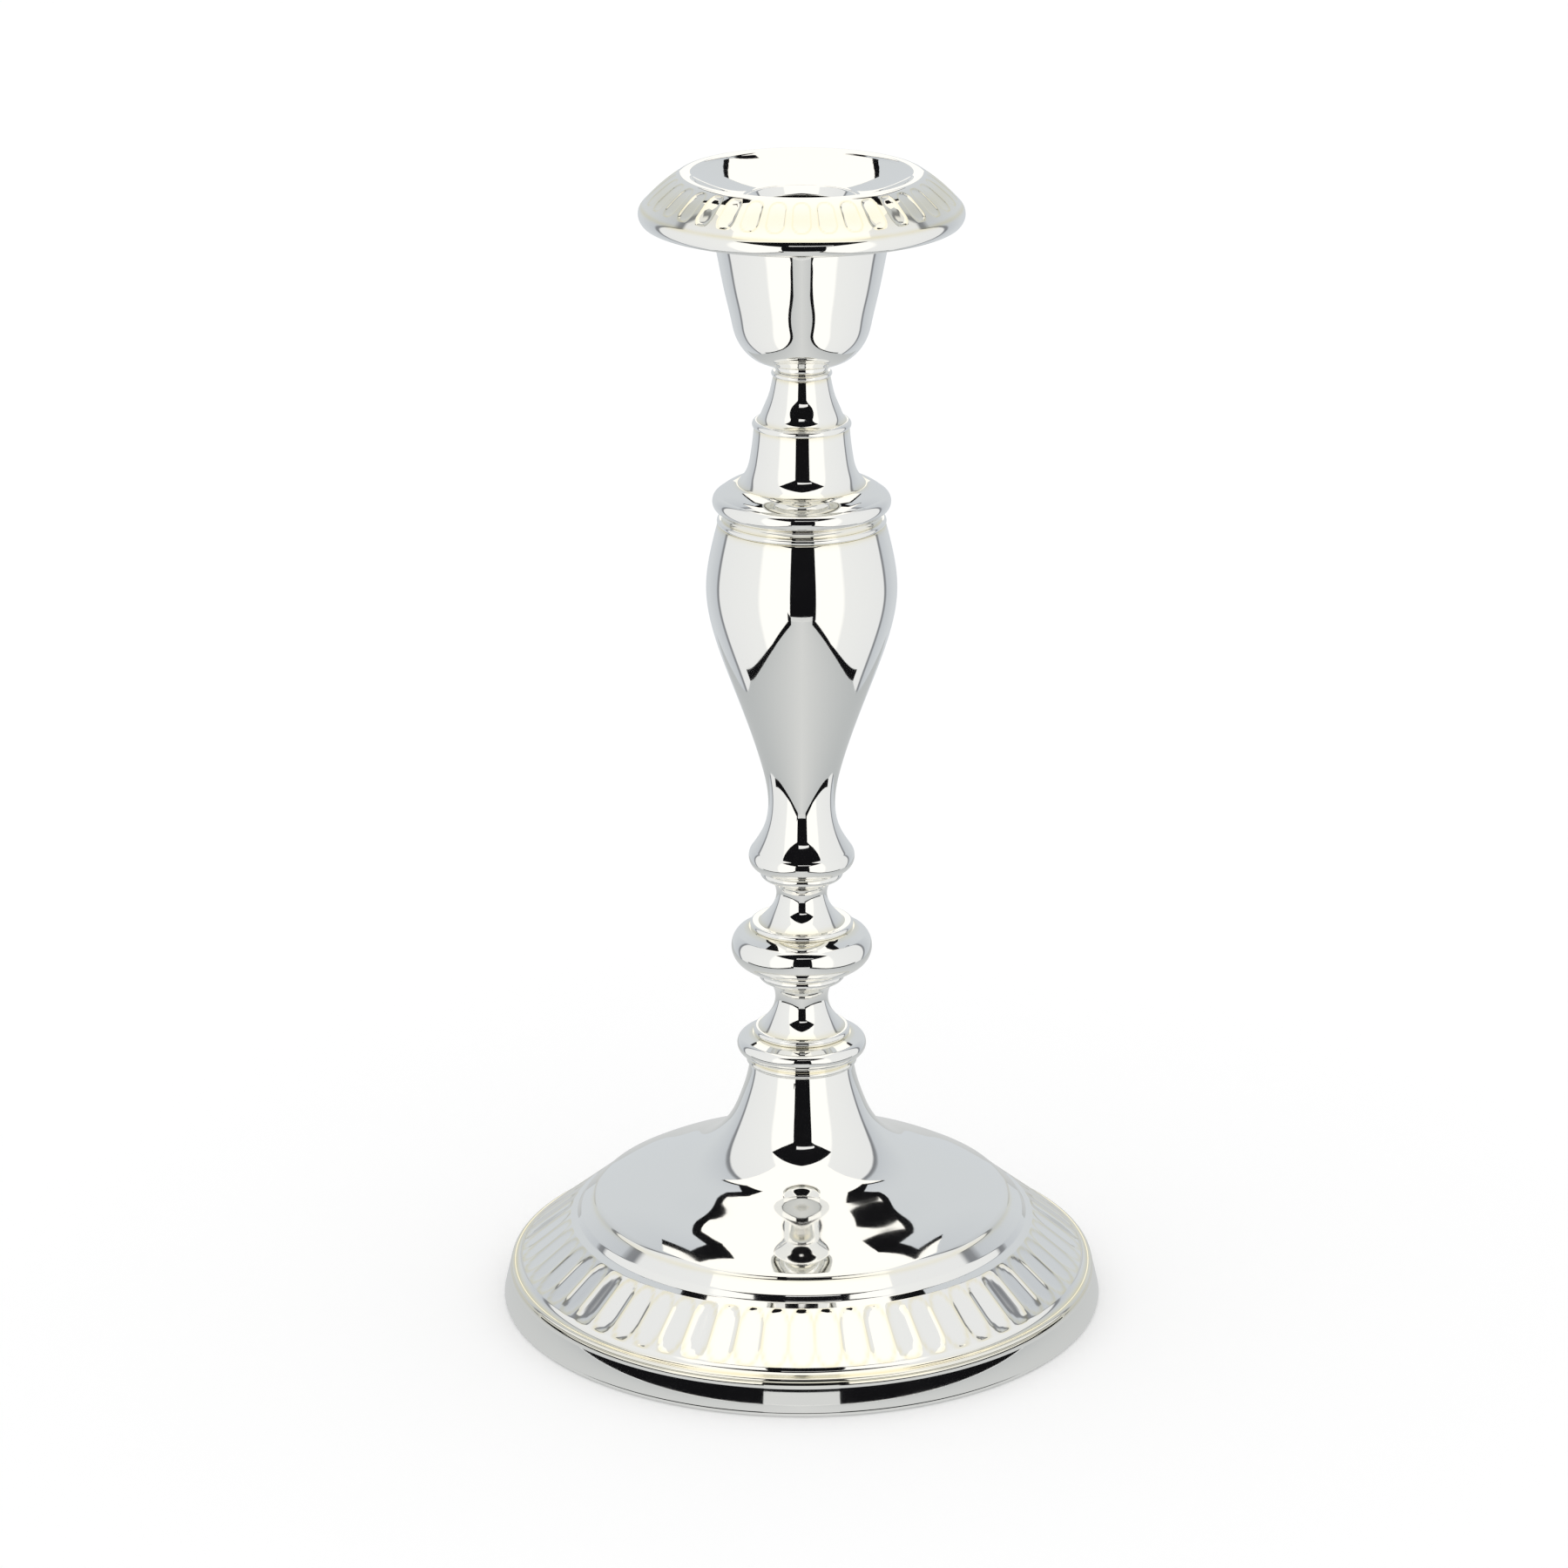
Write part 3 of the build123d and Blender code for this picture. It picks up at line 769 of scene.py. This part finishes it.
def tent_cards():
    # The front opening: a slit that spreads into a wide dark gap under the ceiling.
    front = -0.39
    half_gap = [(0.16, 0.36), (0.27, 0.44), (0.41, 0.57), (0.49, 0.65)]
    left, right, top = -0.094, 0.116, 0.32
    outline = [(left, 0), (right, 0), (right, top)] + half_gap + [(0, 0.83)]
    outline += [(-x, z) for x, z in reversed(half_gap)] + [(left, top)]
    card("camera_slit", [(x, front, z) for x, z in outline], BLACK)
    lamp, lamp_front = [(-0.06, 0.36), (0.15, 0.37), (0.15, 0.40), (-0.06, 0.405)], front + 0.01
    card("camera_lamp", [(x, lamp_front, z) for x, z in lamp], (0.9, 0.9, 0.9))
    # Board under the candlestick, with a raised front lip and black strips standing along either side of it.
    lip = 0.03
    rise = (0.06, 0.045, 0.015, 0.012)
    half = [(0.113, -0.384), (0.073, -0.327), (0.115, -0.14), (0.16, 0.02), (0.175, 0.30)]
    below, lip_front = -0.0004, front + 0.005
    whole = half + [(-x, y) for x, y in reversed(half)]
    # The board card fades from its middle grey to the darker side grey: painted shade on its sides.
    card("table_board", [(x, y, below) for x, y in whole], BOARD, side_colour=BOARD_SHADED_SIDES)
    card("board_lip", [(left, lip_front, 0), (right, lip_front, 0), (right, lip_front, lip),
                       (left, lip_front, lip)], BOARD)
    for side, name in ((-1, "left"), (1, "right")):
        for k, ((x1, y1), (x2, y2)) in enumerate(zip(half[:3], half[1:4])):
            foot = [(side * x1, y1, 0), (side * x2, y2, 0)]
            head = [(side * x2, y2, rise[k + 1]), (side * x1, y1, rise[k])]
            # Black strips standing along the board's sides, seen only in reflections.
            card("board_dark_strip_%s_%d" % (name, k), foot + head, BLACK)
    # Wide ceiling softbox with a lobe running back between two dark flaps.
    height, back = 1.5, 2.0
    left_edge = [(-0.62, back), (-0.60, 0.86), (-0.47, 0.60), (-0.42, 0.33), (-0.66, 0.42), (-0.95, 0.85)]
    right_edge = [(0.95, 0.95), (0.74, 0.50), (0.47, 0.44), (0.35, 0.60), (0.62, 0.90), (0.62, back)]
    front_edge = [(-0.6, -0.7), (0.6, -0.7)]
    flaps = {
        "left": left_edge + [(-0.95, 0.93), (-0.72, 0.57), (-0.58, 0.62), (-0.66, 0.86), (-0.67, back)],
        "right": right_edge + [(0.67, back), (0.68, 0.90), (0.60, 0.66), (0.76, 0.62), (0.95, 1.03)],
    }
    overhead = [(x, y, height) for x, y in left_edge + front_edge + right_edge]
    card("ceiling_softbox", overhead, SOFT_WHITE)
    for side, flap in flaps.items():
        card("ceiling_flap_" + side, [(x, y, height) for x, y in flap], BLACK)
    aside, low_back = 0.32, 0.4
    card("back_softbox", [(-aside, back, low_back), (aside, back, low_back), (aside, back, height),
                          (-aside, back, height)], SOFT_WHITE)


floor()
tent()
tent_cards()

scene = bpy.context.scene
scene.view_settings.view_transform = "Standard"

# ---- camera -------------------------------------------------------------------

CAMERA_DISTANCE = 1.0457     # from the candlestick's axis
CAMERA_HEIGHT = 0.4774
CAMERA_PITCH = 19.0          # degrees downwards
camera_data = bpy.data.cameras.new("camera")
camera_data.lens = 119.0
camera_data.sensor_width = 36.0
camera_data.shift_x = -0.01128
camera = bpy.data.objects.new("camera", camera_data)
camera.location = (0, -CAMERA_DISTANCE, CAMERA_HEIGHT)
camera.rotation_euler = (math.radians(90 - CAMERA_PITCH), 0, 0)
bpy.context.collection.objects.link(camera)
scene.camera = camera
